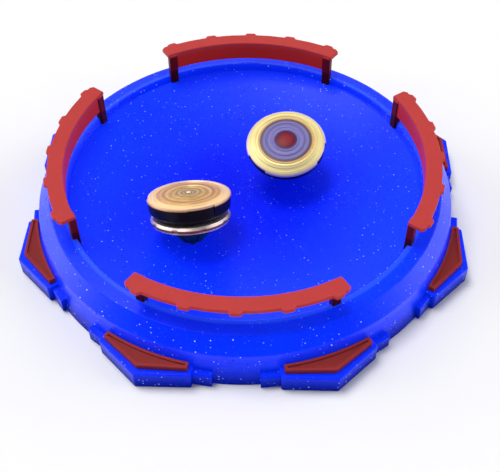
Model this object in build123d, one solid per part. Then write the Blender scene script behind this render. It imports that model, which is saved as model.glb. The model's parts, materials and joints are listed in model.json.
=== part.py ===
from build123d import *
import os
from math import asin, cos, degrees, hypot, radians, sin, sqrt

# Spinning-top battle set: an octagonal arena with a shallow round dish, four red rails that plug into
# its rim, eight red corner caps, and two light-up battle tops standing tilted in the dish as they spin.
# Millimetres, +Z up. The origin is the centre of the arena's foot, on the surface it stands on, and
# the front of the arena faces -Y. Angles round the arena are measured from the front towards +X.

# ---- arena shell: one moulding, open underneath ----
WALL = 2.4
FOOT_RADIUS = 123.2
SHOULDER_RADIUS, SHOULDER_Z = 119.9, 20.8
CREST_RADIUS, CREST_Z = 112.85, 28.6
CREASE_RADIUS, CREASE_Z = 103.4, 29.4
GROOVE_RADIUS = 102.8
DISH_RADIUS, DISH_EDGE_Z = 101.4, 25.2
DISH_CENTRE_Z = 11.0
RIM_ROUNDINGS = [0.3, 0.8, 1.6, 2.2]

# ---- corner lobes of the foot ----
LOBES = 8
LOBE_PITCH = 360 / LOBES
LOBE_FLAT = 125.5
LOBE_HALF_ANGLE = 12.1
LOBE_ROOT_RADIUS = 121.2
LOBE_WALL = 2.2
LEDGE_Z, LEDGE_THICKNESS = 11.0, 3.0
STEP_RADIUS, STEP_HALF_ANGLE, STEP_Z = 125.3, 16.8, 9.0

# ---- pads moulded on the rim, one at the middle of each rail ----
PAD_INNER, PAD_OUTER, PAD_HALF_ANGLE, PAD_RISE = 104.4, 112.3, 3.4, 0.45

# ---- rails ----
RAIL_INNER, RAIL_OUTER = 102.0, 111.0
RAIL_TOP_Z, FLANGE_THICKNESS = 46.9, 2.2
RAIL_HALF_ANGLE = 30.4
CURTAIN_FOOT_Z, CURTAIN_THICKNESS = 34.8, 2.0
POST_RADIUS, POST_ANGLE = 103.4, 28.6
POST_WIDTH, POST_DEPTH, POST_ROUNDING = 5.2, 4.2, 0.8
TOOTH_RISE, TOOTH_ANGLES = 1.7, (0.0, 13.3, 27.0)
TOOTH_HALF_TOP, TOOTH_HALF_FOOT = 1.3, 1.9

# ---- sockets for the posts ----
SOCKET_CLEARANCE = 0.15
SOCKET_FLOOR_Z, SOCKET_FLOOR_THICKNESS = 13.4, 1.2
SOCKET_WALL = 1.8

# ---- corner caps ----
CAP_INNER, CAP_CORNER, CAP_END, CAP_HALF_ANGLE = 121.8, 131.9, 125.3, 11.1
CAP_TOP_Z, CAP_LIP, CAP_RECESS = 14.2, 1.4, 0.9
TAB_FROM_ANGLE, TAB_DROP = 5.6, 1.5
PEG_RADIUS, PEG_PLACE_RADIUS, PEG_ANGLE, PEG_LENGTH = 1.6, 125.6, 3.4, 5.0
FIT_GAP = 0.1

# ---- tops: heights along the top's own axis, on which the tip's lowest point is at TIP_POINT ----
TIP_POINT = -1.8
TIP_BALL, TIP_SHAFT, TIP_COLLAR = 2.2, 1.5, 2.5
SHAFT_CLEARANCE = 0.05
BUSH_RADIUS, BUSH_FOOT, BUSH_TOP = 3.0, 2.0, 10.2
DRIVER_FOOT, DRIVER_SPLIT, DRIVER_FLANGE_TOP, DRIVER_TOP = 0.9, 12.0, 12.9, 18.8
DRIVER_FLANGE, DRIVER_BARREL = 13.4, 8.2
LOCK_TAB_RADIUS, LOCK_TAB_HALF_ANGLE, LOCK_TURN = 10.8, 20.0, 50.0
PLUNGER_FOOT, PLUNGER_FLANGE_TOP, PLUNGER_TOP = 16.6, 17.6, 19.55
PLUNGER_FLANGE, CLAW_OUTER, CLAW_INNER = 6.9, 5.3, 3.9
CLAW_TEETH = 8
SPRING_RADIUS, SPRING_WIRE, SPRING_TURNS = 3.9, 0.32, 5
DISC_HOLE, DISC_FOOT, DISC_TOP = 8.4, 12.4, 16.85
DISC_SCALLOPS = 9
LAYER_FOOT, RECESS_CEILING, CAVITY_FLOOR, LAYER_SPLIT = 17.0, 20.2, 21.3, 27.5
LAYER_RADIUS, FALL_FROM, CAVITY_RADIUS = 23.3, 17.6, 16.6
LIP_RADIUS, RECESS_RADIUS, LIP_TOP = 8.9, 11.3, 17.6
FACE_HOLE, FACE_LIP, FACE_SEAT, FACE_FOOT = 14.9, 13.6, 28.0, 27.2
BLADES, BLADE_CUT = 3, 0.8
SCREW_CIRCLE, SCREW_SHANK, SCREW_HEAD, SCREW_HEAD_HEIGHT, SCREW_TOP = 19.2, 0.85, 1.5, 1.2, 26.0
BOSS_RADIUS, BOSS_FOOT = 1.95, 22.8
CELL_RADIUS, CELL_HEIGHT, CELL_CIRCLE = 3.95, 3.6, 5.4
CONTACT_THICKNESS = 0.2
BOARD_RADIUS, BOARD_FOOT, BOARD_TOP = 15.8, 25.2, 26.0
LED_CIRCLE = 9.6
SWITCH_CIRCLE, SWITCH_TRAVEL = 11.6, 1.2

# Each top: where its tip touches the dish, its lean in degrees about X and then Y, its turn about its
# own axis, the radii of its lens and of its metal disc, how far its face falls away towards the rim, the
# outline of its layer's underside as radius and height, and the height its screw heads seat at. The left
# top is a heavy one with a wide disc; the right one has a small disc under a thin overhanging layer.
TOPS = {
    "left_top": {
        "touch": (-28.0, -41.0),
        "lean": (-25.0, -4.0),
        "turn": 25.0,
        "lens": 2.2,
        "disc": 22.3,
        "fall": 0.5,
        "underside": [(16.4, 17.0), (20.6, 18.4), (22.6, 21.0)],
        "screw_seat": 20.2,
    },
    "right_top": {
        "touch": (25.1, 21.2),
        "lean": (12.0, -3.0),
        "turn": 70.0,
        "lens": 6.2,
        "disc": 17.4,
        "fall": 2.4,
        "underside": [(17.0, 17.0), (17.2, 20.6), (21.6, 20.6), (22.8, 22.2)],
        "screw_seat": 22.0,
    },
}
TIP_GAP = 0.2


def around(radius, angle):
    """A point in plan, at an angle in degrees from the front towards +X."""
    return (radius * sin(radians(angle)), -radius * cos(radians(angle)))


def arc(radius, start, end):
    """An arc in plan about the arena's centre."""
    return ThreePointArc(around(radius, start), around(radius, (start + end) / 2), around(radius, end))


def plan(edges):
    """A face in plan from edges that close a loop."""
    return make_face(Wire(edges))


def sector(inner, outer, start, end):
    """A piece of a ring in plan."""
    sides = [Line(around(outer, end), around(inner, end)), Line(around(inner, start), around(outer, start))]
    edges = [arc(outer, start, end), sides[0], arc(inner, end, start), sides[1]]
    return plan([edge.edge() for edge in edges])


def slab(face, low, high):
    """A plan face extruded between two heights."""
    return Pos(0, 0, low) * extrude(face, high - low)


def turned(*points):
    """A closed (radius, height) outline turned round the Z axis."""
    return revolve(Plane.XZ * make_face(Polyline(*points, close=True)), Axis.Z)


def ring(inner, outer, low, high):
    return turned((inner, low), (outer, low), (outer, high), (inner, high))


def disc(radius, low, high):
    return Pos(0, 0, low) * Cylinder(radius, high - low, align=(Align.CENTER, Align.CENTER, Align.MIN))


def spread(shape, count, start=0.0):
    """Copies of a shape at equal angles round the Z axis."""
    return [Rot(0, 0, start + 360 / count * k) * shape for k in range(count)]


# ------------------------------------------------------------------ arena


def dish_sphere_radius():
    depth = DISH_EDGE_Z - DISH_CENTRE_Z
    return (DISH_RADIUS**2 + depth**2) / (2 * depth)


def dish_height(radius):
    """Height of the dish's surface at a distance from its centre."""
    sphere = dish_sphere_radius()
    return DISH_CENTRE_Z + sphere - sqrt(sphere**2 - radius**2)


def dish_arc(drop=0.0):
    half = DISH_RADIUS / 2
    points = [(r, dish_height(r) - drop) for r in (0.0, half, DISH_RADIUS)]
    return ThreePointArc(*points)


def dome_arc(radius, edge, top):
    """Half the outline of a dome, from its edge up to its crown on the axis."""
    rise = top - edge
    sphere = (radius**2 + rise**2) / (2 * rise)
    middle = (radius / 2, top - sphere + sqrt(sphere**2 - radius**2 / 4))
    return ThreePointArc((radius, edge), middle, (0, top))


def rim_points(rise=0.0):
    return [
        (DISH_RADIUS, DISH_EDGE_Z + rise),
        (GROOVE_RADIUS, DISH_EDGE_Z + rise),
        (CREASE_RADIUS, CREASE_Z + rise),
        (CREST_RADIUS, CREST_Z + rise),
        (SHOULDER_RADIUS, SHOULDER_Z + rise),
        (FOOT_RADIUS, 0),
    ]


def under_top_surface(rise=0.0):
    """Everything between the shell's top surface, raised by rise, and the floor."""
    top = dish_arc(-rise).edges() + FilletPolyline(*rim_points(rise), radius=RIM_ROUNDINGS).edges()
    closing = Polyline((FOOT_RADIUS, 0), (0, 0), (0, dish_height(0) + rise)).edges()
    return revolve(Plane.XZ * make_face(Wire(top + closing)), Axis.Z)


def hollow_underneath():
    below = [
        (DISH_RADIUS, DISH_EDGE_Z - WALL),
        (CREASE_RADIUS + WALL, DISH_EDGE_Z - WALL),
        (CREASE_RADIUS + WALL, CREASE_Z - WALL),
        (CREST_RADIUS - 1.0, CREST_Z - WALL),
        (SHOULDER_RADIUS - WALL, SHOULDER_Z - 1.0),
        (FOOT_RADIUS - WALL, 0),
        (0, 0),
        (0, dish_height(0) - WALL),
    ]
    return revolve(Plane.XZ * make_face(Wire(dish_arc(WALL).edges() + Polyline(*below).edges())), Axis.Z)


def lobe_plan(inset=0.0):
    """Plan of one corner lobe, centred on the front."""
    vertex = around((LOBE_FLAT - inset) / cos(radians(LOBE_PITCH / 2)), 0)
    half = LOBE_HALF_ANGLE - degrees(asin(inset / LOBE_FLAT))
    reach = (LOBE_FLAT - inset) / cos(radians(LOBE_PITCH / 2 - half))
    left, right = around(reach, -half), around(reach, half)
    root = LOBE_ROOT_RADIUS + inset
    root_left, root_right = around(root, -half), around(root, half)
    edges = Polyline(root_left, left, vertex, right, root_right).edges()
    return plan(edges + [ThreePointArc(root_right, around(root, 0), root_left).edge()])


def lobe():
    """One corner lobe, with its ledge, centred on the front."""
    block = extrude(lobe_plan(), LEDGE_Z)
    corners = block.edges().filter_by(Axis.Z).sort_by(Axis.Y)[:3]
    block = fillet(corners, 1.2)
    rim = [e for e in block.faces().sort_by(Axis.Z)[-1].edges() if e.center().Y < -(LOBE_ROOT_RADIUS + 1.2)]
    block = fillet(rim, 0.7)
    step = slab(sector(LOBE_ROOT_RADIUS, STEP_RADIUS, -STEP_HALF_ANGLE, STEP_HALF_ANGLE), 0, STEP_Z)
    top_arcs = step.faces().sort_by(Axis.Z)[-1].edges().filter_by(GeomType.CIRCLE)
    step = chamfer(top_arcs.sort_by(Axis.Y)[:1], 0.5)
    return block + step


def lobe_hollows():
    """What is cut from one lobe: its hollow, the holes for the cap's pegs and the pockets for its tabs."""
    hollow = extrude(lobe_plan(LOBE_WALL), LEDGE_Z - LEDGE_THICKNESS)
    holes = [
        Pos(*around(PEG_PLACE_RADIUS, side * PEG_ANGLE), 0) * disc(PEG_RADIUS + FIT_GAP, 1, LEDGE_Z + 1)
        for side in (-1, 1)
    ]
    floor = LEDGE_Z - TAB_DROP - FIT_GAP
    pockets = [slab(tab_plan(side, FIT_GAP), floor, LEDGE_Z + 1) for side in (-1, 1)]
    return [hollow, *holes, *pockets]


def post_plan(grow=0.0):
    shape = RectangleRounded(POST_WIDTH + 2 * grow, POST_DEPTH + 2 * grow, POST_ROUNDING)
    return Pos(0, -POST_RADIUS, 0) * shape


def at_posts(shape):
    return [Rot(0, 0, side * POST_ANGLE) * shape for side in (-1, 1)]


def socket_boss():
    low = SOCKET_FLOOR_Z - SOCKET_FLOOR_THICKNESS
    return slab(post_plan(SOCKET_CLEARANCE + SOCKET_WALL), low, CREASE_Z)


def socket_hole():
    return slab(post_plan(SOCKET_CLEARANCE), SOCKET_FLOOR_Z, CREASE_Z + 5)


def rim_pad():
    """A low pad on the rim at the front, following the rim's slope."""
    outline = sector(PAD_INNER, PAD_OUTER, -PAD_HALF_ANGLE, PAD_HALF_ANGLE)
    block = slab(outline, CREST_Z - WALL / 2, CREASE_Z + 2)
    return block & under_top_surface(PAD_RISE)


def arena_shell():
    solid_under = under_top_surface()
    shell = solid_under - hollow_underneath()
    shell += spread(lobe(), LOBES, LOBE_PITCH / 2)
    sides = [Rot(0, 0, 90 * quarter) * socket_boss() for quarter in range(4)]
    bosses = [boss & solid_under for side in sides for boss in at_posts(side)]
    shell += bosses
    shell += spread(rim_pad(), 4)
    for cut in lobe_hollows():
        shell -= spread(cut, LOBES, LOBE_PITCH / 2)
    for hole in at_posts(socket_hole()):
        shell -= spread(hole, 4)
    return shell


# ------------------------------------------------------------------ rails


def tooth(centre, side):
    """The outer edge of the flange over one tooth, in order of rising angle on that side."""
    foot_in, top_in = centre - TOOTH_HALF_FOOT, centre - TOOTH_HALF_TOP
    top_out, foot_out = centre + TOOTH_HALF_TOP, centre + TOOTH_HALF_FOOT
    high = RAIL_OUTER + TOOTH_RISE
    corners = [(RAIL_OUTER, foot_in), (high, top_in), (high, top_out), (RAIL_OUTER, foot_out)]
    return [(radius, side * angle) for radius, angle in corners]


def rail_outline():
    """Plan of the flange at the front: an arc with five teeth outside and a hooked end at each side."""
    last = TOOTH_ANGLES[-1]
    ends = {}
    for side in (-1, 1):
        ends[side] = [
            *tooth(TOOTH_ANGLES[1], side),
            (RAIL_OUTER, side * (last - TOOTH_HALF_FOOT)),
            (RAIL_OUTER + TOOTH_RISE + 0.2, side * (last - 1.1)),
            (RAIL_OUTER + TOOTH_RISE, side * (last + 0.9)),
            (RAIL_OUTER + 0.2, side * (last + 1.7)),
            (RAIL_OUTER + 0.4, side * (last + 2.6)),
            (RAIL_OUTER - 1.2, side * (last + 3.7)),
            (RAIL_INNER, side * RAIL_HALF_ANGLE),
        ]
    corners = ends[-1][::-1] + tooth(TOOTH_ANGLES[0], 1) + ends[1]
    edges = [arc(RAIL_INNER, RAIL_HALF_ANGLE, -RAIL_HALF_ANGLE).edge()]
    for (r0, a0), (r1, a1) in zip(corners, corners[1:]):
        round_run = abs(r0 - r1) < 1e-6
        edge = arc(r0, a0, a1) if round_run else Line(around(r0, a0), around(r1, a1))
        edges.append(edge.edge())
    return plan(edges)


def rail():
    """The front rail: a toothed flange, a curtain hanging from its inner edge and a post at each end."""
    flange = slab(rail_outline(), RAIL_TOP_Z - FLANGE_THICKNESS, RAIL_TOP_Z)
    flange = fillet(flange.faces().sort_by(Axis.Z)[-1].edges(), 0.4)
    curtain = slab(
        sector(RAIL_INNER, RAIL_INNER + CURTAIN_THICKNESS, -POST_ANGLE, POST_ANGLE),
        CURTAIN_FOOT_Z,
        RAIL_TOP_Z - FLANGE_THICKNESS / 2,
    )
    foot = curtain.faces().sort_by(Axis.Z)[0].edges().filter_by(GeomType.CIRCLE)
    curtain = fillet(foot, 0.5)
    post = slab(post_plan(), SOCKET_FLOOR_Z + FIT_GAP, RAIL_TOP_Z - FLANGE_THICKNESS / 2)
    post = chamfer(post.faces().sort_by(Axis.Z)[0].edges(), 0.4)
    return flange + curtain + at_posts(post)


# ------------------------------------------------------------------ corner caps


def cap_plan():
    """Plan of a cap at the front: straight outer flanks that meet at a corner, and an inner arc."""
    left, right = around(CAP_END, -CAP_HALF_ANGLE), around(CAP_END, CAP_HALF_ANGLE)
    corner = around(CAP_CORNER, 0)
    inner_left, inner_right = around(CAP_INNER, -CAP_HALF_ANGLE), around(CAP_INNER, CAP_HALF_ANGLE)
    inner = ThreePointArc(inner_right, around(CAP_INNER, 0), inner_left)
    return plan(Polyline(inner_left, left, corner, right, inner_right).edges() + [inner.edge()])


def tab_plan(side, grow=0.0):
    """Plan of the part of a cap that drops into the ledge at one end, grown on every side."""
    wedge = sector(CAP_INNER - 1, CAP_CORNER + 2, side * TAB_FROM_ANGLE, side * (CAP_HALF_ANGLE + 1))
    return offset(cap_plan() & wedge, grow, kind=Kind.INTERSECTION) if grow else cap_plan() & wedge


def corner_cap():
    plate = slab(cap_plan(), LEDGE_Z, CAP_TOP_Z)
    corners = plate.edges().filter_by(Axis.Z).sort_by(Axis.Y)[:1]
    plate = fillet(corners, 1.0)
    panel = offset(cap_plan(), -CAP_LIP, kind=Kind.INTERSECTION)
    plate -= slab(panel, CAP_TOP_Z - CAP_RECESS, CAP_TOP_Z + 1)
    tabs = [slab(tab_plan(side), LEDGE_Z - TAB_DROP, LEDGE_Z + 0.5) for side in (-1, 1)]
    peg = disc(PEG_RADIUS, LEDGE_Z - PEG_LENGTH, LEDGE_Z + 0.5)
    pegs = [Pos(*around(PEG_PLACE_RADIUS, side * PEG_ANGLE), 0) * peg for side in (-1, 1)]
    return plate + tabs + pegs


# ------------------------------------------------------------------ tops


def tip():
    """The pointed foot: a ball end on a shaft, held in the driver by its collar, and free to turn in it."""
    middle = TIP_POINT + TIP_BALL
    half_way = (TIP_BALL * sin(radians(45)), middle - TIP_BALL * cos(radians(45)))
    ball = ThreePointArc((0, TIP_POINT), half_way, (TIP_BALL, middle))
    rest = Polyline(
        (TIP_BALL, middle),
        (1.9, middle + 1.0),
        (TIP_SHAFT, middle + 1.3),
        (TIP_SHAFT, BUSH_TOP + 0.2),
        (TIP_COLLAR, BUSH_TOP + 0.2),
        (TIP_COLLAR, BUSH_TOP + 0.9),
        (0, BUSH_TOP + 0.9),
        (0, TIP_POINT),
    )
    return revolve(Plane.XZ * make_face(Wire(ball.edges() + rest.edges())), Axis.Z)


def tip_bush():
    return ring(TIP_SHAFT + SHAFT_CLEARANCE, BUSH_RADIUS, BUSH_FOOT, BUSH_TOP)


def driver_base():
    """The driver's lower cone, with the boss that holds the bush and shallow flutes outside."""
    bore, boss = BUSH_RADIUS + SHAFT_CLEARANCE, 4.6
    cone_foot, cone_top = (6.2, 1.6), (12.9, 9.0)
    cone = turned(
        (bore, DRIVER_FOOT),
        (4.0, DRIVER_FOOT),
        cone_foot,
        cone_top,
        (DRIVER_FLANGE, 10.0),
        (DRIVER_FLANGE, DRIVER_SPLIT),
        (11.9, DRIVER_SPLIT),
        (11.7, 10.2),
        (boss, 2.6),
        (boss, BUSH_TOP),
        (bore, BUSH_TOP),
    )
    skin = turned((5.6, 1.6), cone_foot, cone_top, (12.5, 9.4))
    flute = (Pos(0, -9.6, 5.4) * Box(1.2, 5.6, 14.0)) & skin
    return cone - spread(flute, 8)


def driver_housing():
    """The driver's barrel, which passes through the metal disc and locks into the layer by two tabs."""
    inside, top_hole = DRIVER_BARREL - 1.0, CLAW_OUTER + 0.3
    barrel = turned(
        (inside, DRIVER_SPLIT),
        (DRIVER_FLANGE, DRIVER_SPLIT),
        (DRIVER_FLANGE, DRIVER_FLANGE_TOP),
        (DRIVER_BARREL, DRIVER_FLANGE_TOP),
        (DRIVER_BARREL, DRIVER_TOP),
        (top_hole, DRIVER_TOP),
        (top_hole, DRIVER_TOP - 1.0),
        (inside, DRIVER_TOP - 1.0),
    )
    half = LOCK_TAB_HALF_ANGLE
    tab = slab(sector(DRIVER_BARREL - 0.4, LOCK_TAB_RADIUS, -half, half), DRIVER_TOP - 1.0, DRIVER_TOP)
    return barrel + spread(tab, 2)


def claw_teeth(low, high, start):
    tooth_width = 360 / CLAW_TEETH / 2 - 4
    block = slab(sector(CLAW_INNER, CLAW_OUTER, -tooth_width / 2, tooth_width / 2), low, high)
    return spread(block, CLAW_TEETH, start)


def plunger():
    """The sprung claw ring that clicks against the layer's teeth."""
    body = turned(
        (CLAW_INNER, PLUNGER_FOOT),
        (PLUNGER_FLANGE, PLUNGER_FOOT),
        (PLUNGER_FLANGE, PLUNGER_FLANGE_TOP),
        (CLAW_OUTER, PLUNGER_FLANGE_TOP),
        (CLAW_OUTER, PLUNGER_TOP - 0.35),
        (CLAW_INNER, PLUNGER_TOP - 0.35),
    )
    seat = ring(3.2, CLAW_INNER + 0.1, PLUNGER_FOOT, PLUNGER_FOOT + 0.8)
    return body + seat + claw_teeth(PLUNGER_TOP - 0.4, PLUNGER_TOP, 0.0)


def driver_spring():
    low = BUSH_TOP + SPRING_WIRE + 0.03
    high = PLUNGER_FOOT - SPRING_WIRE - 0.03
    path = Pos(0, 0, low) * Helix(pitch=(high - low) / SPRING_TURNS, height=high - low, radius=SPRING_RADIUS)
    section = Plane(origin=path @ 0, z_dir=path % 0) * Circle(SPRING_WIRE)
    return sweep(section, path=path, is_frenet=True)


def metal_disc(radius):
    """The cast weight ring, with scallops round its edge and notches that let the driver's tabs through."""
    seat = DRIVER_FLANGE_TOP + 0.05
    body = turned(
        (DISC_HOLE, seat),
        (DRIVER_FLANGE + 0.3, seat),
        (DRIVER_FLANGE + 1.2, DISC_FOOT),
        (radius - 2.3, DISC_FOOT),
        (radius - 0.6, 13.2),
        (radius - 0.6, 13.9),
        (radius, 14.3),
        (radius, 15.5),
        (radius - 1.1, DISC_TOP),
        (DISC_HOLE, DISC_TOP),
    )
    scallop_radius = 6.0
    scallop = Pos(0, -(radius + scallop_radius - 0.5), 0) * disc(scallop_radius, DISC_FOOT - 1, DISC_TOP + 1)
    half = LOCK_TAB_HALF_ANGLE + 3
    notch = slab(sector(DISC_HOLE - 1, LOCK_TAB_RADIUS + 0.4, -half, half), DISC_FOOT - 1, DISC_TOP + 1)
    body = body - spread(scallop, DISC_SCALLOPS) - spread(notch, 2)
    pocket_inner, pocket_outer = 16.4, radius - 2.9
    if pocket_outer > pocket_inner:
        pocket = slab(sector(pocket_inner, pocket_outer, -14, 14), DISC_FOOT - 1, DISC_FOOT + 1.4)
        body -= spread(pocket, DISC_SCALLOPS, 20)
    return body


def blade_cuts(low, high, depth):
    """Shallow steps in the outer edge that leave three blades."""
    block = slab(sector(LAYER_RADIUS - depth, LAYER_RADIUS + 2, -19, 19), low, high)
    return spread(block, BLADES)


def fallen(radius, height, fall):
    """A point of the face's outline, lowered towards the rim."""
    return (radius, height - fall * (radius - FALL_FROM) / (LAYER_RADIUS - FALL_FROM))


def layer_base(fall, underside, screw_seat):
    """The black body of the layer: recess and lip for the driver below, cavity for the light above."""
    rim_top = LAYER_SPLIT - fall - FIT_GAP
    body = turned(
        (0, RECESS_CEILING),
        (RECESS_RADIUS, RECESS_CEILING),
        (RECESS_RADIUS, LIP_TOP),
        (LIP_RADIUS, LIP_TOP),
        (LIP_RADIUS, LAYER_FOOT),
        *underside,
        (LAYER_RADIUS - 0.2, rim_top - 0.4),
        (LAYER_RADIUS - 0.5, rim_top),
        (FALL_FROM, LAYER_SPLIT),
        (CAVITY_RADIUS, LAYER_SPLIT),
        (CAVITY_RADIUS, CAVITY_FLOOR),
        (0, CAVITY_FLOOR),
    )
    half = LOCK_TAB_HALF_ANGLE + 2.5
    notch = slab(sector(LIP_RADIUS - 0.5, RECESS_RADIUS - 0.1, -half, half), LAYER_FOOT - 1, LIP_TOP + 0.1)
    screw_hole = disc(SCREW_SHANK + 0.05, LAYER_FOOT - 1, LAYER_SPLIT + 1)
    screw_hole += disc(SCREW_HEAD + 0.15, LAYER_FOOT - 1, screw_seat)
    screw_hole += disc(BOSS_RADIUS + FIT_GAP, BOSS_FOOT - 0.2, LAYER_SPLIT + 1)
    holes = spread(Pos(0, -SCREW_CIRCLE, 0) * screw_hole, 3, 60)
    body = body - spread(notch, 2, -LOCK_TURN) - holes
    body -= blade_cuts(LAYER_FOOT - 1, LAYER_SPLIT + 1, BLADE_CUT)
    pillar = Pos(0, -14.2, 0) * disc(1.3, CAVITY_FLOOR - 0.2, BOARD_FOOT)
    teeth = claw_teeth(PLUNGER_TOP + 0.1, RECESS_CEILING + 0.1, 180 / CLAW_TEETH)
    return body + spread(pillar, 3, 30) + teeth


def layer_face(fall):
    """The gold face plate: concentric ribs, a rounded edge that falls away, a hole for the light ring."""
    ribs = [(20.9, 28.8), (20.6, 28.45), (19.5, 28.5), (19.2, 28.85)]
    edge = [(LAYER_RADIUS, LAYER_SPLIT), (LAYER_RADIUS, 28.0), (23.0, 28.5), (22.3, 28.75)]
    body = turned(
        *[fallen(radius, height, fall) for radius, height in edge + ribs],
        (FALL_FROM, 28.9),
        (17.3, 28.55),
        (16.4, 28.6),
        (16.1, 28.95),
        (FACE_HOLE, 28.95),
        (FACE_HOLE, FACE_SEAT),
        (FACE_LIP, FACE_SEAT),
        (FACE_LIP, FACE_FOOT),
        (CAVITY_RADIUS - FIT_GAP, FACE_FOOT),
        (CAVITY_RADIUS - FIT_GAP, LAYER_SPLIT),
        (FALL_FROM, LAYER_SPLIT),
    )
    mid_height, clear_height = 28.1, 32.0
    over = LAYER_RADIUS + 2
    above = turned(
        (CAVITY_RADIUS, mid_height),
        (FALL_FROM, mid_height),
        fallen(over, mid_height, fall),
        (over, clear_height),
        (CAVITY_RADIUS, clear_height),
    )
    boss = (Pos(0, -SCREW_CIRCLE, 0) * disc(BOSS_RADIUS, BOSS_FOOT, clear_height)) - above
    pilot = Pos(0, -SCREW_CIRCLE, 0) * disc(SCREW_SHANK + 0.03, BOSS_FOOT - 1, SCREW_TOP + 0.4)
    body = body + spread(boss, 3, 60) - spread(pilot, 3, 60)
    return body - blade_cuts(LAYER_FOOT, clear_height, BLADE_CUT)


def light_ring(lens):
    """The clear ring over the emitters, with a hole for the centre lens."""
    hole = lens + FIT_GAP
    return turned(
        (hole, FACE_FOOT),
        (FACE_LIP - FIT_GAP, FACE_FOOT),
        (FACE_LIP - FIT_GAP, FACE_SEAT),
        (FACE_HOLE - FIT_GAP, FACE_SEAT),
        (FACE_HOLE - FIT_GAP, 28.95),
        (13.6, 29.15),
        (12.2, 29.15),
        (11.9, 28.85),
        (10.9, 28.85),
        (10.6, 29.2),
        (9.2, 29.3),
        (8.9, 29.0),
        (8.0, 29.0),
        (7.7, 29.4),
        (hole, 29.4),
    )


def light_lens(lens):
    """The domed centre lens, clipped under the ring by a wider foot."""
    edge, crown = 29.1, 29.8
    clip = [(0, 26.95), (lens + 0.6, 26.95), (lens + 0.6, FACE_FOOT - 0.05), (lens, FACE_FOOT - 0.05)]
    foot = Polyline((0, crown), *clip, (lens, edge))
    return revolve(Plane.XZ * make_face(Wire(dome_arc(lens, edge, crown).edges() + foot.edges())), Axis.Z)


def circuit_board():
    board = disc(BOARD_RADIUS, BOARD_FOOT, BOARD_TOP)
    return board - spread(Pos(0, -BOARD_RADIUS, BOARD_FOOT - 1) * disc(1.1, 0, 3), 3, 90)


def light_emitters():
    """Three emitters under the ring and one under the lens, each a base with a clear dome."""
    base = Pos(0, 0, BOARD_TOP) * Box(2.0, 1.6, 0.4, align=(Align.CENTER, Align.CENTER, Align.MIN))
    dome = Pos(0, 0, BOARD_TOP + 0.3) * (Sphere(0.6) & disc(0.6, 0, 1))
    emitter = base + dome
    return [emitter, *spread(Pos(0, -LED_CIRCLE, 0) * emitter, 3)]


def button_cells():
    low = CAVITY_FLOOR + CONTACT_THICKNESS
    cell = disc(CELL_RADIUS, low, low + CELL_HEIGHT)
    cell = chamfer(cell.edges(), 0.25)
    return spread(Pos(0, -CELL_CIRCLE, 0) * cell, 3)


def battery_contact():
    """The thin sprung plate under the cells."""
    pads = spread(Pos(0, -CELL_CIRCLE, 0) * disc(2.6, CAVITY_FLOOR, CAVITY_FLOOR + CONTACT_THICKNESS), 3)
    return disc(4.2, CAVITY_FLOOR, CAVITY_FLOOR + CONTACT_THICKNESS) + pads


def switch_base():
    """The track of the spin switch, on the board, with a slot along the radius."""
    block = Box(2.6, 4.6, 1.0, align=(Align.CENTER, Align.CENTER, Align.MIN))
    slot = Pos(0, 0, 0.3) * Box(1.4, 3.4, 2.0, align=(Align.CENTER, Align.CENTER, Align.MIN))
    return Rot(0, 0, 60) * Pos(0, -SWITCH_CIRCLE, BOARD_TOP) * (block - slot)


def switch_weight():
    """The small weight that spinning throws outwards to close the switch."""
    block = Box(1.2, 1.8, 0.6, align=(Align.CENTER, Align.CENTER, Align.MIN))
    block = Pos(0, SWITCH_TRAVEL / 2, 0.35) * block
    return Rot(0, 0, 60) * Pos(0, -SWITCH_CIRCLE, BOARD_TOP) * block


def layer_screws(seat):
    foot = seat - SCREW_HEAD_HEIGHT
    slot = Pos(0, 0, foot) * (Box(2.2, 0.4, 0.8) + Box(0.4, 2.2, 0.8))
    screw = disc(SCREW_HEAD, foot, seat) + disc(SCREW_SHANK, seat - 0.1, SCREW_TOP) - slot
    return spread(Pos(0, -SCREW_CIRCLE, 0) * screw, 3, 60)


def top_pieces(spec):
    """Every piece of one top, standing upright on its axis."""
    return {
        "tip": tip(),
        "tip_bush": tip_bush(),
        "driver_base": driver_base(),
        "driver_housing": driver_housing(),
        "driver_spring": driver_spring(),
        "plunger": plunger(),
        "metal_disc": metal_disc(spec["disc"]),
        "layer_base": layer_base(spec["fall"], spec["underside"], spec["screw_seat"]),
        "layer_face": layer_face(spec["fall"]),
        "light_ring": light_ring(spec["lens"]),
        "light_lens": light_lens(spec["lens"]),
        "circuit_board": circuit_board(),
        "light_emitters": light_emitters(),
        "button_cells": button_cells(),
        "battery_contact": battery_contact(),
        "switch_base": switch_base(),
        "switch_weight": switch_weight(),
        "layer_screws": layer_screws(spec["screw_seat"]),
    }


def top_place(spec):
    """Where a top stands: its tip's ball just clear of the dish, and its axis at its lean."""
    x, y = spec["touch"]
    centre_height = DISH_CENTRE_Z + dish_sphere_radius()
    reach = dish_sphere_radius() - TIP_BALL - TIP_GAP
    touch = Vector(x, y, dish_height(hypot(x, y)) - centre_height)
    ball = touch.normalized() * reach + Vector(0, 0, centre_height)
    turn_x, turn_y = spec["lean"]
    lean = Rot(0, turn_y, 0) * Rot(turn_x, 0, 0) * Rot(0, 0, spec["turn"])
    return Location(tuple(ball)) * lean * Pos(0, 0, -TIP_POINT - TIP_BALL)


def write(name, shape):
    solids = []
    for item in shape if isinstance(shape, (list, tuple)) else [shape]:
        solids.extend(item.solids())
    export_step(solids[0] if len(solids) == 1 else Compound(children=solids), f"parts/{name}.step")


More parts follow.
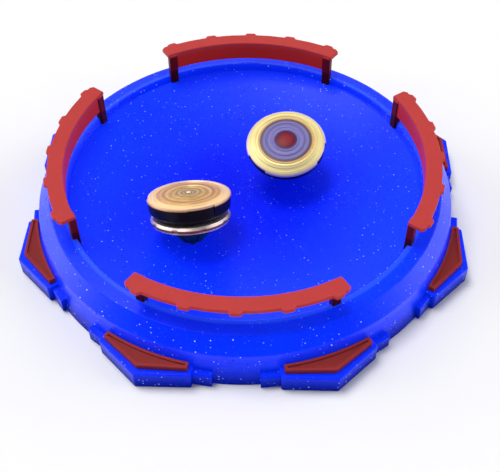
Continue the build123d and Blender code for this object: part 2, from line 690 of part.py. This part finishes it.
def main():
    os.makedirs("parts", exist_ok=True)
    write("arena_shell", arena_shell())
    for quarter, side in enumerate(("front", "right", "back", "left")):
        write(f"{side}_rail", Rot(0, 0, 90 * quarter) * rail())
    for number in range(LOBES):
        write(f"corner_cap_{number + 1}", Rot(0, 0, LOBE_PITCH * (number + 0.5)) * corner_cap())
    for top, spec in TOPS.items():
        place = top_place(spec)
        for piece, shape in top_pieces(spec).items():
            items = shape if isinstance(shape, (list, tuple)) else [shape]
            write(f"{top}_{piece}", [place * item for item in items])


if __name__ == "__main__":
    main()
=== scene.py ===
import json
from math import radians

import bpy
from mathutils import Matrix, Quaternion, Vector


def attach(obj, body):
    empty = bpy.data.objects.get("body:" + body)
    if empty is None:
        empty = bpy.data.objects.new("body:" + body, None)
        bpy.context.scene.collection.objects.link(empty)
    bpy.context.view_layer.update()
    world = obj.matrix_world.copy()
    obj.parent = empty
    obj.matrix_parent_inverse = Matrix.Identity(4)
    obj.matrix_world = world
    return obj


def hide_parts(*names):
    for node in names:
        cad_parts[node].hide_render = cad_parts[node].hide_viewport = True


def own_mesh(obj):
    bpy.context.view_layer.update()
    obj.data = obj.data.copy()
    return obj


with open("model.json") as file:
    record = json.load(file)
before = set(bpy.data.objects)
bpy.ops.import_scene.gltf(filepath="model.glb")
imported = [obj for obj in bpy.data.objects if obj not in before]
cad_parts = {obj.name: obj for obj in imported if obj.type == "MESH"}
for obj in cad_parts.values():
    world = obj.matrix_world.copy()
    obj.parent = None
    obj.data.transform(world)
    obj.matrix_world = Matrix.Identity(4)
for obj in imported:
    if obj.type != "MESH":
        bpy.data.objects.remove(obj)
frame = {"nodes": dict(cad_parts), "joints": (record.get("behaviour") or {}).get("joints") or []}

# Looks of the battle-top arena set: a glittery translucent blue arena, red rails and caps, and two
# light-up tops with gold faces. Every length is in metres, in the CAD model's frame, and a length
# given in millimetres is multiplied by MM.

MM = 0.001
nodes = frame["nodes"]
joints = {joint["name"]: joint for joint in frame["joints"]}
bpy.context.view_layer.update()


def rgb(red, green, blue):
    """A display colour from 0 to 255 as scene-linear values."""
    linear = []
    for value in (red / 255, green / 255, blue / 255):
        linear.append(value / 12.92 if value <= 0.04045 else ((value + 0.055) / 1.055) ** 2.4)
    return (*linear, 1.0)


class Material:
    """A node material built round one Principled shader, with object coordinates in metres."""

    def __init__(self, name, **shader):
        self.data = bpy.data.materials.new(name)
        self.data.use_nodes = True
        self.tree = self.data.node_tree
        self.shader = self.tree.nodes["Principled BSDF"]
        self.place = self.add("ShaderNodeTexCoord").outputs["Object"]
        for socket, value in shader.items():
            self.set(socket.replace("_", " "), value)

    def put(self, socket, value):
        """Link a socket into another, or set a plain value on it."""
        if isinstance(value, bpy.types.NodeSocket):
            self.tree.links.new(value, socket)
        else:
            socket.default_value = value

    def set(self, name, value):
        self.put(self.shader.inputs[name], value)

    def add(self, kind, inputs=(), **settings):
        """A new node with its settings, and its inputs in order, where None leaves one alone."""
        node = self.tree.nodes.new(kind)
        for name, value in settings.items():
            setattr(node, name, value)
        for index, value in enumerate(inputs):
            if value is not None:
                self.put(node.inputs[index], value)
        return node

    def math(self, operation, a, b=None, c=None):
        return self.add("ShaderNodeMath", (a, b, c), operation=operation).outputs[0]

    def clamped(self, value, low, high):
        """0 below low, 1 above high, and straight between them."""
        node = self.add("ShaderNodeMapRange", (value, low, high, 0.0, 1.0))
        return node.outputs[0]

    def band(self, value, middle, half):
        """1 at a value, fading to 0 where it is half a band's width away."""
        away = self.math("ABSOLUTE", self.math("SUBTRACT", value, middle))
        return self.clamped(away, half, half / 3)

    def between(self, share, low, high):
        """low at a share of 0, high at 1."""
        return self.add("ShaderNodeMapRange", (share, 0.0, 1.0, low, high)).outputs[0]

    def vector(self, operation, a, b=None):
        node = self.add("ShaderNodeVectorMath", (a, b), operation=operation)
        return node.outputs["Value" if operation in ("LENGTH", "DOT_PRODUCT") else "Vector"]

    def noise(self, feature, detail=3.0, roughness=0.55, place=None):
        """Soft noise from 0 to 1 whose features are about so many metres across."""
        node = self.add("ShaderNodeTexNoise")
        self.put(node.inputs["Vector"], place or self.place)
        node.inputs["Scale"].default_value = 1 / feature
        node.inputs["Detail"].default_value = detail
        node.inputs["Roughness"].default_value = roughness
        return node.outputs["Fac"]

    def lines(self, distance, feature):
        """Noise that changes along one distance only, for turned or brushed lines."""
        node = self.add("ShaderNodeTexNoise", noise_dimensions="1D")
        self.put(node.inputs["W"], self.math("DIVIDE", distance, feature))
        node.inputs["Scale"].default_value = 1.0
        node.inputs["Detail"].default_value = 4.0
        return node.outputs["Fac"]

    def ramp(self, value, stops):
        """Colours blended along a value from 0 to 1, given as (place, colour) stops."""
        node = self.add("ShaderNodeValToRGB", (value,))
        elements = node.color_ramp.elements
        for index, (position, colour) in enumerate(stops):
            element = elements[index] if index < 2 else elements.new(position)
            element.position, element.color = position, colour
        return node.outputs["Color"]

    def mix(self, share, a, b):
        """Colour a at a share of 0, colour b at 1."""
        node = self.add("ShaderNodeMix", data_type="RGBA")
        self.put(node.inputs[0], share)
        self.put(node.inputs[6], a)
        self.put(node.inputs[7], b)
        return node.outputs[2]

    def scaled(self, colour, low, high, share):
        """A colour made darker or lighter, from low to high times, by a share."""
        if isinstance(colour, tuple):
            colour = colour[:3]
        return self.vector("MULTIPLY", colour, self.between(share, low, high))

    def bump(self, height, strength, distance, normal=None):
        node = self.add("ShaderNodeBump")
        node.inputs["Strength"].default_value = strength
        node.inputs["Distance"].default_value = distance
        self.put(node.inputs["Height"], height)
        if normal is not None:
            self.put(node.inputs["Normal"], normal)
        return node.outputs["Normal"]

    def height(self):
        return self.add("ShaderNodeSeparateXYZ", (self.place,)).outputs["Z"]

    def facing(self):
        """0 face on, rising to 1 edge on, for gloss that grows at a slant."""
        return self.add("ShaderNodeLayerWeight", (0.5,)).outputs["Facing"]


def use(material, *names):
    """Give a material to CAD nodes."""
    for name in names:
        slots = nodes[name].material_slots
        for slot in slots:
            slot.material = material.data
        if not slots:
            nodes[name].data.materials.append(material.data)


# ------------------------------------------------------------------ moulded plastics


def flakes(material, spacing, share, reach):
    """Where glitter flakes show, from 0 to 1, and each flake's own random colour and number."""
    cells = material.add("ShaderNodeTexVoronoi", voronoi_dimensions="3D", feature="F1")
    material.put(cells.inputs["Vector"], material.place)
    cells.inputs["Scale"].default_value = 1 / spacing
    chance = material.add("ShaderNodeSeparateColor", (cells.outputs["Color"],)).outputs
    inside = material.clamped(cells.outputs["Distance"], reach, reach * 0.7)
    kept = material.math("LESS_THAN", chance["Red"], share)
    return material.math("MULTIPLY", inside, kept), cells.outputs["Color"], chance["Green"]


# Distances out from the arena's middle, heights above the floor, and how far each band fades.
DISH_MIDDLE, DISH_EDGE = 30 * MM, 80 * MM
GROOVE, GROOVE_HALF = 102.8 * MM, 0.6 * MM
CREST, CREST_HALF = 104.9 * MM, 1.8 * MM
SHADED_BELOW = 14 * MM
RIM_FOOT, RIM_FADE = 16 * MM, 4 * MM

MIDDLE_SHADE_BLUES = (rgb(2, 20, 230), rgb(4, 30, 238))
BRIGHT_BLUES = (rgb(4, 40, 240), rgb(6, 50, 250))
CREST_HIGHLIGHT_BLUE = rgb(70, 124, 255)
DEEP_FLAKE, NEAR_FLAKE, FLAKE_PAINTED_GLOW = rgb(90, 130, 255), rgb(205, 225, 255), rgb(150, 190, 255)


def arena_body(m, upright):
    """The dish's blue, with painted shade in its middle, low down, in the groove and on upright faces
    under the rim, and a painted highlight on the crest.
    """
    flow = m.clamped(m.noise(60 * MM, 4.0), 0.3, 0.7)
    across = m.vector("LENGTH", m.vector("MULTIPLY", m.place, (1.0, 1.0, 0.0)))
    outward = m.clamped(across, DISH_MIDDLE, DISH_EDGE)
    # The dish is darker towards its middle, a painted shade.
    body = m.mix(outward, m.mix(flow, *MIDDLE_SHADE_BLUES), m.mix(flow, *BRIGHT_BLUES))
    body = m.scaled(body, 0.94, 1.04, m.noise(4 * MM, 3.0))
    body = m.scaled(body, 0.24, 1.0, m.clamped(m.height(), 0.0, SHADED_BELOW))
    # Painted shade in the groove.
    body = m.scaled(body, 1.0, 0.8, m.band(across, GROOVE, GROOVE_HALF))
    # A painted highlight along the crest.
    crest = m.math("MULTIPLY", m.band(across, CREST, CREST_HALF), 0.2)
    body = m.mix(crest, body, CREST_HIGHLIGHT_BLUE)
    # Painted shade on upright faces under the rim.
    return m.scaled(body, 1.0, 0.82, upright)


def arena_material():
    """Translucent blue with fine silver glitter, and a painted glow all over it, paler on the bright
    flakes, that lifts its shade.
    """
    m = Material("arena_blue", IOR=1.49)
    normal = m.add("ShaderNodeNewGeometry").outputs["Normal"]
    level = m.add("ShaderNodeSeparateXYZ", (normal,)).outputs["Z"]
    under_rim = m.clamped(m.height(), RIM_FOOT + RIM_FADE, RIM_FOOT)
    upright = m.math("MULTIPLY", m.clamped(level, 0.35, 0.05), under_rim)
    body = arena_body(m, upright)

    near, tint, chance = flakes(m, 1.9 * MM, 0.42, 0.21)
    deep, _, deep_chance = flakes(m, 1.2 * MM, 0.6, 0.24)
    glint = m.math("MULTIPLY", deep, m.between(deep_chance, 0.05, 0.3))
    slant = m.clamped(level, 0.995, 0.9)
    bright = m.math("MULTIPLY", near, m.math("POWER", chance, 2.2))
    bright = m.math("MULTIPLY", bright, m.between(slant, 0.4, 1.0))
    m.set("Base Color", m.mix(bright, m.mix(glint, body, DEEP_FLAKE), NEAR_FLAKE))
    m.set("Metallic", m.math("MULTIPLY", bright, 0.2))
    # A painted glow: the whole blue glows a little in its painted colour, and the bright flakes glow
    # paler, lifting the shade.
    m.set("Emission Color", m.mix(bright, body, FLAKE_PAINTED_GLOW))
    m.set("Emission Strength", 0.5)
    m.set("Subsurface Weight", 0.3)
    m.set("Subsurface Radius", (0.25, 0.35, 1.0))
    m.set("Subsurface Scale", 3 * MM)

    gloss = m.between(m.math("POWER", m.facing(), 1.5), 0.05, 1.2)
    gloss = m.math("MULTIPLY", gloss, m.between(m.clamped(m.height(), 2 * MM, 14 * MM), 0.2, 1.0))
    m.set("Specular IOR Level", m.math("MULTIPLY", gloss, m.between(upright, 1.0, 0.2)))
    m.set("Roughness", m.between(m.noise(4 * MM, 3.0), 0.24, 0.34))
    lean = m.vector("SUBTRACT", tint, (0.5, 0.5, 0.5))
    tilt = m.vector("MULTIPLY", lean, m.math("MULTIPLY", bright, 0.5))
    tilted = m.vector("NORMALIZE", m.vector("ADD", normal, tilt))
    m.set("Normal", m.bump(m.noise(1.2 * MM, 2.0), 0.12, 0.2 * MM, tilted))
    return m


POST_FADE = 0.4 * MM


def red_plastic(name, stops, low, high, glow, post=None):
    """Red moulded plastic with painted shade and light up its height: darker low down and in the thick
    posts, lighter at the top, and a painted glow.
    """
    m = Material(name, IOR=1.49)
    tone = m.ramp(m.clamped(m.height(), low, high), stops)
    if post:
        split = m.add("ShaderNodeSeparateXYZ", (m.place,)).outputs
        sideways = [m.math("ABSOLUTE", split[axis]) for axis in ("X", "Y")]
        past, top = post
        along = m.clamped(m.math("MINIMUM", *sideways), past - POST_FADE, past)
        below = m.clamped(m.height(), top + POST_FADE, top)
        # Painted shade on the posts.
        tone = m.scaled(tone, 1.0, 0.22, m.math("MULTIPLY", along, below))
    cloud = m.noise(12 * MM, 4.0)
    fine = m.noise(1.5 * MM, 3.0)
    m.set("Base Color", m.scaled(tone, 0.88, 1.1, cloud))
    m.set("Roughness", m.between(fine, 0.3, 0.44))
    m.set("Specular IOR Level", m.between(m.facing(), 0.05, 0.14))
    m.set("Subsurface Weight", 0.3)
    m.set("Subsurface Radius", (1.0, 0.2, 0.15))
    m.set("Subsurface Scale", 1.5 * MM)
    # A painted glow in the plastic's painted colour.
    m.set("Emission Color", tone)
    m.set("Emission Strength", glow)
    m.set("Normal", m.bump(fine, 0.15, 0.2 * MM))
    return m


def plain_plastic(name, colour, roughness, grain=0.8 * MM):
    """One moulded colour with a fine grain and soft clouds."""
    m = Material(name, IOR=1.5)
    fine = m.noise(grain, 4.0)
    cloud = m.noise(grain * 12, 3.0)
    m.set("Base Color", m.scaled(colour, 0.82, 1.15, cloud))
    m.set("Roughness", m.between(fine, *roughness))
    m.set("Normal", m.bump(fine, 0.15, grain * 0.2))
    return m


# ------------------------------------------------------------------ tops


class Axis:
    """Distances out from a top's leaning axis and along it."""

    def __init__(self, top):
        spin = joints[f"{top}_spin"]
        self.point, self.along = Vector(spin["pos_m"]), Vector(spin["axis"]).normalized()

    def out(self, m):
        """Distance out from the axis."""
        offset = m.vector("SUBTRACT", m.place, tuple(self.point))
        return m.vector("LENGTH", m.vector("CROSS_PRODUCT", offset, tuple(self.along)))

    def up(self, m):
        """Distance along the axis from the spin joint's point."""
        offset = m.vector("SUBTRACT", m.place, tuple(self.point))
        return m.vector("DOT_PRODUCT", offset, tuple(self.along))


# Colours of each top's face, as (radius in millimetres, colour), from its middle to its edge.
FACE_REACH = 24 * MM
FACES = {
    "left_top": [
        (0.0, (255, 250, 232)), (1.1, (246, 228, 186)), (1.7, (122, 92, 52)), (2.6, (214, 182, 120)),
        (3.8, (156, 122, 72)), (5.2, (222, 188, 126)), (6.6, (170, 132, 80)), (8.4, (228, 192, 122)),
        (10.0, (184, 142, 86)), (12.2, (242, 200, 130)), (13.6, (178, 130, 80)), (15.2, (228, 178, 112)),
        (17.0, (214, 162, 104)), (18.8, (255, 212, 148)), (21.0, (255, 222, 168)), (22.4, (255, 212, 164)),
        (23.3, (214, 160, 120)),
    ],
    "right_top": [
        (0.0, (150, 40, 46)), (3.0, (142, 36, 46)), (5.0, (108, 32, 58)), (6.2, (96, 64, 112)),
        (7.2, (126, 120, 184)), (9.2, (142, 136, 200)), (11.0, (120, 112, 172)), (12.8, (136, 130, 192)),
        (14.0, (104, 90, 116)), (15.0, (128, 98, 74)), (16.2, (206, 170, 108)), (17.8, (250, 228, 158)),
        # The right top's pale lavender-white stops at 22.3 and 23.3 mm are a painted highlight on the
        # face's rim.
        (19.6, (255, 244, 172)), (21.4, (254, 234, 170)), (22.3, (236, 214, 184)), (23.3, (190, 180, 220)),
    ],
}


def face_material(top, name, metallic, rough, clear):
    """Rings of colour about the top's axis, with fine turned lines."""
    m = Material(f"{top}_{name}", IOR=1.5, Metallic=metallic)
    out = Axis(top).out(m)
    stops = [(radius * MM / FACE_REACH, rgb(*colour)) for radius, colour in FACES[top]]
    rings = m.ramp(m.math("DIVIDE", out, FACE_REACH), stops)
    turned = m.lines(out, 0.35 * MM)
    cloud = m.noise(6 * MM, 3.0)
    colour = m.scaled(m.scaled(rings, 0.84, 1.12, turned), 0.93, 1.05, cloud)
    m.set("Base Color", colour)
    m.set("Roughness", m.between(turned, *rough))
    m.set("Normal", m.bump(turned, 0.25, 0.08 * MM))
    if clear:
        m.set("Specular IOR Level", 0.15)
        m.set("Subsurface Weight", 0.35)
        m.set("Subsurface Radius", (1.0, 0.8, 0.8))
        m.set("Subsurface Scale", 1 * MM)
    return m


# Colours along a top's axis, as (millimetres above where the bands start, colour). The bands start
# 7 mm below the spin joint's point.
BANDS_START, BANDS_REACH = -7 * MM, 32 * MM
BLACK_BANDS = [
    (16.5, (30, 24, 26)), (18.2, (14, 12, 16)), (20.5, (22, 19, 22)), (22.5, (11, 11, 20)),
    (26.5, (16, 14, 26)), (27.6, (46, 34, 26)),
]
DISC_BANDS = [
    (12.3, (176, 140, 120)), (13.2, (240, 224, 214)), (13.8, (228, 196, 168)), (14.4, (130, 84, 74)),
    (15.1, (156, 108, 90)), (15.7, (240, 212, 184)), (16.8, (240, 230, 232)),
]
DRIVER_BANDS = [
    (0.5, (2, 44, 34)), (4.0, (4, 64, 50)), (8.0, (6, 84, 66)), (11.0, (4, 64, 58)), (19.0, (6, 70, 58)),
]


def banded_material(top, name, stops, metallic, rough, gloss):
    """Bands of colour along the top's axis, with fine lines round it."""
    m = Material(f"{top}_{name}", IOR=1.5, Metallic=metallic, Specular_IOR_Level=gloss)
    up = Axis(top).up(m)
    level = m.clamped(up, BANDS_START, BANDS_START + BANDS_REACH)
    bands = m.ramp(level, [(height * MM / BANDS_REACH, rgb(*colour)) for height, colour in stops])
    turned = m.lines(up, 0.3 * MM)
    worn = m.noise(2.2 * MM, 5.0, 0.7)
    m.set("Base Color", m.scaled(m.scaled(bands, 0.86, 1.1, turned), 0.85, 1.08, worn))
    m.set("Roughness", m.between(worn, *rough))
    m.set("Normal", m.bump(turned, 0.2, 0.06 * MM))
    return m


def brushed_metal(name, colour, roughness=(0.22, 0.4)):
    """Bare metal with fine streaks one way and faint spots."""
    m = Material(name, Metallic=1.0)
    streak = m.noise(0.6 * MM, 4.0, place=m.vector("MULTIPLY", m.place, (1.0, 8.0, 1.0)))
    spots = m.noise(2 * MM, 5.0, 0.7)
    m.set("Base Color", m.scaled(colour, 0.75, 1.1, spots))
    m.set("Roughness", m.between(streak, *roughness))
    m.set("Normal", m.bump(streak, 0.2, 0.05 * MM))
    return m


def board_material():
    """Green solder mask with lighter copper runs under it."""
    m = Material("circuit_board", IOR=1.5)
    runs = m.add("ShaderNodeTexBrick", offset=0.5, squash=1.0)
    m.put(runs.inputs["Vector"], m.place)
    runs.inputs["Scale"].default_value = 260.0
    runs.inputs["Mortar Size"].default_value = 0.05
    m.put(runs.inputs["Color1"], rgb(10, 84, 40))
    m.put(runs.inputs["Color2"], rgb(14, 98, 48))
    m.put(runs.inputs["Mortar"], rgb(60, 150, 84))
    m.set("Base Color", m.scaled(runs.outputs["Color"], 0.85, 1.1, m.noise(2 * MM)))
    m.set("Roughness", m.between(m.noise(1 * MM), 0.25, 0.45))
    m.set("Coat Weight", 0.3)
    return m


def clear_resin(name, colour):
    """Cloudy half-clear resin, as on a small light emitter."""
    m = Material(name, IOR=1.5)
    depth = m.noise(1.2 * MM, 3.0)
    m.set("Base Color", m.scaled(colour, 0.9, 1.08, depth))
    m.set("Transmission Weight", 0.35)
    m.set("Roughness", m.between(depth, 0.08, 0.2))
    return m


# ------------------------------------------------------------------ materials on nodes

use(arena_material(), "arena_shell")

# Tones up a rail and up a cap, as (share of the height, colour), painting shade low down and light at the
# top, and where a rail's
# posts are, which get painted shade: past this far sideways from the middle of the side, and below this
# height.
RAIL_FOOT, RAIL_TOP = 20 * MM, 46.9 * MM
RAIL_SHADED_TONES = [
    (0.0, rgb(60, 12, 12)), (0.5, rgb(110, 22, 18)), (0.56, rgb(170, 34, 16)), (0.85, rgb(170, 38, 24)),
    (0.97, rgb(164, 50, 48)), (1.0, rgb(168, 58, 56)),
]
POST = (46.4 * MM, 44.6 * MM)
CAP_FOOT, CAP_TOP = 9 * MM, 14.2 * MM
CAP_SHADED_TONES = [
    (0.0, rgb(70, 18, 16)), (0.55, rgb(134, 42, 38)), (0.8, rgb(140, 48, 46)), (0.88, rgb(144, 48, 44)),
    (1.0, rgb(152, 52, 48)),
]
rails = [f"{side}_rail" for side in ("front", "right", "back", "left")]
caps = sorted(name for name in nodes if name.startswith("corner_cap_"))
use(red_plastic("rail_red", RAIL_SHADED_TONES, RAIL_FOOT, RAIL_TOP, 0.36, POST), *rails)
use(red_plastic("cap_red", CAP_SHADED_TONES, CAP_FOOT, CAP_TOP, 0.05), *caps)

RING_METAL = {"left_top": 0.35, "right_top": 0.0}
for top in FACES:
    use(face_material(top, "gold", 0.35, (0.3, 0.45), False), f"{top}_layer_face")
    use(face_material(top, "ring", RING_METAL[top], (0.3, 0.45), True), f"{top}_light_ring")
    use(face_material(top, "lens", 0.0, (0.35, 0.45), True), f"{top}_light_lens")
    use(banded_material(top, "black", BLACK_BANDS, 0.0, (0.25, 0.4), 0.15), f"{top}_layer_base")
    use(banded_material(top, "disc", DISC_BANDS, 0.7, (0.25, 0.4), 0.5), f"{top}_metal_disc")
    green = banded_material(top, "green", DRIVER_BANDS, 0.0, (0.3, 0.45), 0.2)
    use(green, f"{top}_driver_base", f"{top}_driver_housing")

spring_steel = brushed_metal("spring_steel", rgb(186, 188, 192))
brass = brushed_metal("brass", rgb(206, 170, 98))
cell_steel = brushed_metal("cell_steel", rgb(214, 214, 216), (0.18, 0.32))
screw_steel = brushed_metal("screw_steel", rgb(112, 112, 116))
tip_plastic = plain_plastic("tip_plastic", rgb(10, 62, 48), (0.35, 0.6))
claw_plastic = plain_plastic("claw_plastic", rgb(222, 220, 214), (0.35, 0.5))
switch_plastic = plain_plastic("switch_plastic", rgb(34, 34, 36), (0.35, 0.55))
board = board_material()
emitter = clear_resin("emitter_resin", rgb(246, 240, 214))
INNER = {
    "tip": tip_plastic,
    "tip_bush": brass,
    "driver_spring": spring_steel,
    "plunger": claw_plastic,
    "circuit_board": board,
    "light_emitters": emitter,
    "button_cells": cell_steel,
    "battery_contact": brass,
    "switch_base": switch_plastic,
    "switch_weight": cell_steel,
    "layer_screws": screw_steel,
}
for top in FACES:
    for piece, material in INNER.items():
        use(material, f"{top}_{piece}")


# ------------------------------------------------------------------ springs


def spring_coil(top):
    """A top's spring as its own piece, a copy of the CAD spring attached to the top's driver, with the CAD
    spring hidden.
    """
    cad = nodes[f"{top}_driver_spring"]
    coil = bpy.data.objects.new(f"{top}_spring_coil", cad.data.copy())
    bpy.context.scene.collection.objects.link(coil)
    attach(coil, f"{top}_driver")
    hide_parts(cad.name)
    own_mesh(coil)


for top in FACES:
    spring_coil(top)


# ------------------------------------------------------------------ floor, light and camera


FLOOR_HALF, FLOOR_DROP = 6.0, 0.3 * MM


def make_floor():
    """A plain white floor just under the arena's foot."""
    mesh = bpy.data.meshes.new("floor")
    ways = [(-1, -1), (1, -1), (1, 1), (-1, 1)]
    corners = [(x * FLOOR_HALF, y * FLOOR_HALF, -FLOOR_DROP) for x, y in ways]
    mesh.from_pydata(corners, [], [(0, 1, 2, 3)])
    floor = bpy.data.objects.new("floor", mesh)
    bpy.context.scene.collection.objects.link(floor)
    m = Material("floor_white", IOR=1.45, Roughness=0.7)
    m.set("Base Color", m.scaled((0.93, 0.93, 0.94, 1), 0.99, 1.01, m.noise(50 * MM)))
    m.set("Specular IOR Level", 0.2)
    mesh.materials.append(m.data)


def make_sun(name, toward, strength, spread):
    """A broad white light, given by the way towards it and its width in degrees."""
    light = bpy.data.lights.new(name, "SUN")
    light.energy, light.angle = strength, radians(spread)
    lamp = bpy.data.objects.new(name, light)
    lamp.rotation_mode = "QUATERNION"
    lamp.rotation_quaternion = Vector(toward).to_track_quat("Z", "Y")
    bpy.context.scene.collection.objects.link(lamp)


# How bright the room is: its walls, its ceiling, and its front as a share of the rest.
WALL, CEILING, FRONT = 1.5, 0.2, 0.3


def make_world():
    """White walls low down at the back and sides, and a dimmer ceiling and front, as in a light tent.

    The room itself is always seen as plain white.
    """
    world = bpy.data.worlds.new("studio")
    bpy.context.scene.world = world
    world.use_nodes = True
    tree = world.node_tree
    place = tree.nodes.new("ShaderNodeTexCoord")
    split = tree.nodes.new("ShaderNodeSeparateXYZ")
    tree.links.new(place.outputs["Generated"], split.inputs[0])
    levels = tree.nodes.new("ShaderNodeMath")
    levels.operation = "MULTIPLY"
    spans = {"Z": (0.05, 0.5, WALL, CEILING), "Y": (-0.6, -0.1, FRONT, 1.0)}
    for factor, (direction, span) in enumerate(spans.items()):
        level = tree.nodes.new("ShaderNodeMapRange")
        tree.links.new(split.outputs[direction], level.inputs["Value"])
        for index, value in enumerate(span, 1):
            level.inputs[index].default_value = value
        tree.links.new(level.outputs[0], levels.inputs[factor])
    seen = tree.nodes.new("ShaderNodeMath")
    seen.operation = "MAXIMUM"
    tree.links.new(levels.outputs[0], seen.inputs[0])
    tree.links.new(tree.nodes.new("ShaderNodeLightPath").outputs["Is Camera Ray"], seen.inputs[1])
    backdrop = tree.nodes["Background"]
    backdrop.inputs["Color"].default_value = (1.0, 1.0, 1.0, 1)
    tree.links.new(seen.outputs[0], backdrop.inputs["Strength"])


SENSOR_WIDTH, LENS = 36.0, 61.62
CAMERA_PLACE = (0.01807, -0.35390, 0.38015)
CAMERA_TARGET = (0.00352, -0.02188, 0.0)
CAMERA_ROLL = -0.794


def make_camera():
    """A camera in front and above, at about 45 degrees, rolled a little."""
    camera = bpy.data.cameras.new("camera")
    camera.sensor_fit, camera.sensor_width, camera.lens = "HORIZONTAL", SENSOR_WIDTH, LENS
    camera.clip_start, camera.clip_end = 0.01, 20
    holder = bpy.data.objects.new("camera", camera)
    bpy.context.scene.collection.objects.link(holder)
    holder.location = CAMERA_PLACE
    aim = (Vector(CAMERA_TARGET) - holder.location).to_track_quat("-Z", "Y")
    holder.rotation_mode = "QUATERNION"
    holder.rotation_quaternion = aim @ Quaternion((0, 0, 1), radians(CAMERA_ROLL))
    bpy.context.scene.camera = holder


make_floor()
make_world()
make_sun("key", (-0.3, 0.2, 1.0), 1.95, 30)
make_sun("left_wall", (-1.0, 0.1, 0.45), 0.95, 50)
make_sun("right_wall", (1.0, 0.1, 0.5), 0.95, 50)
make_camera()
bpy.context.scene.view_settings.view_transform = "Standard"
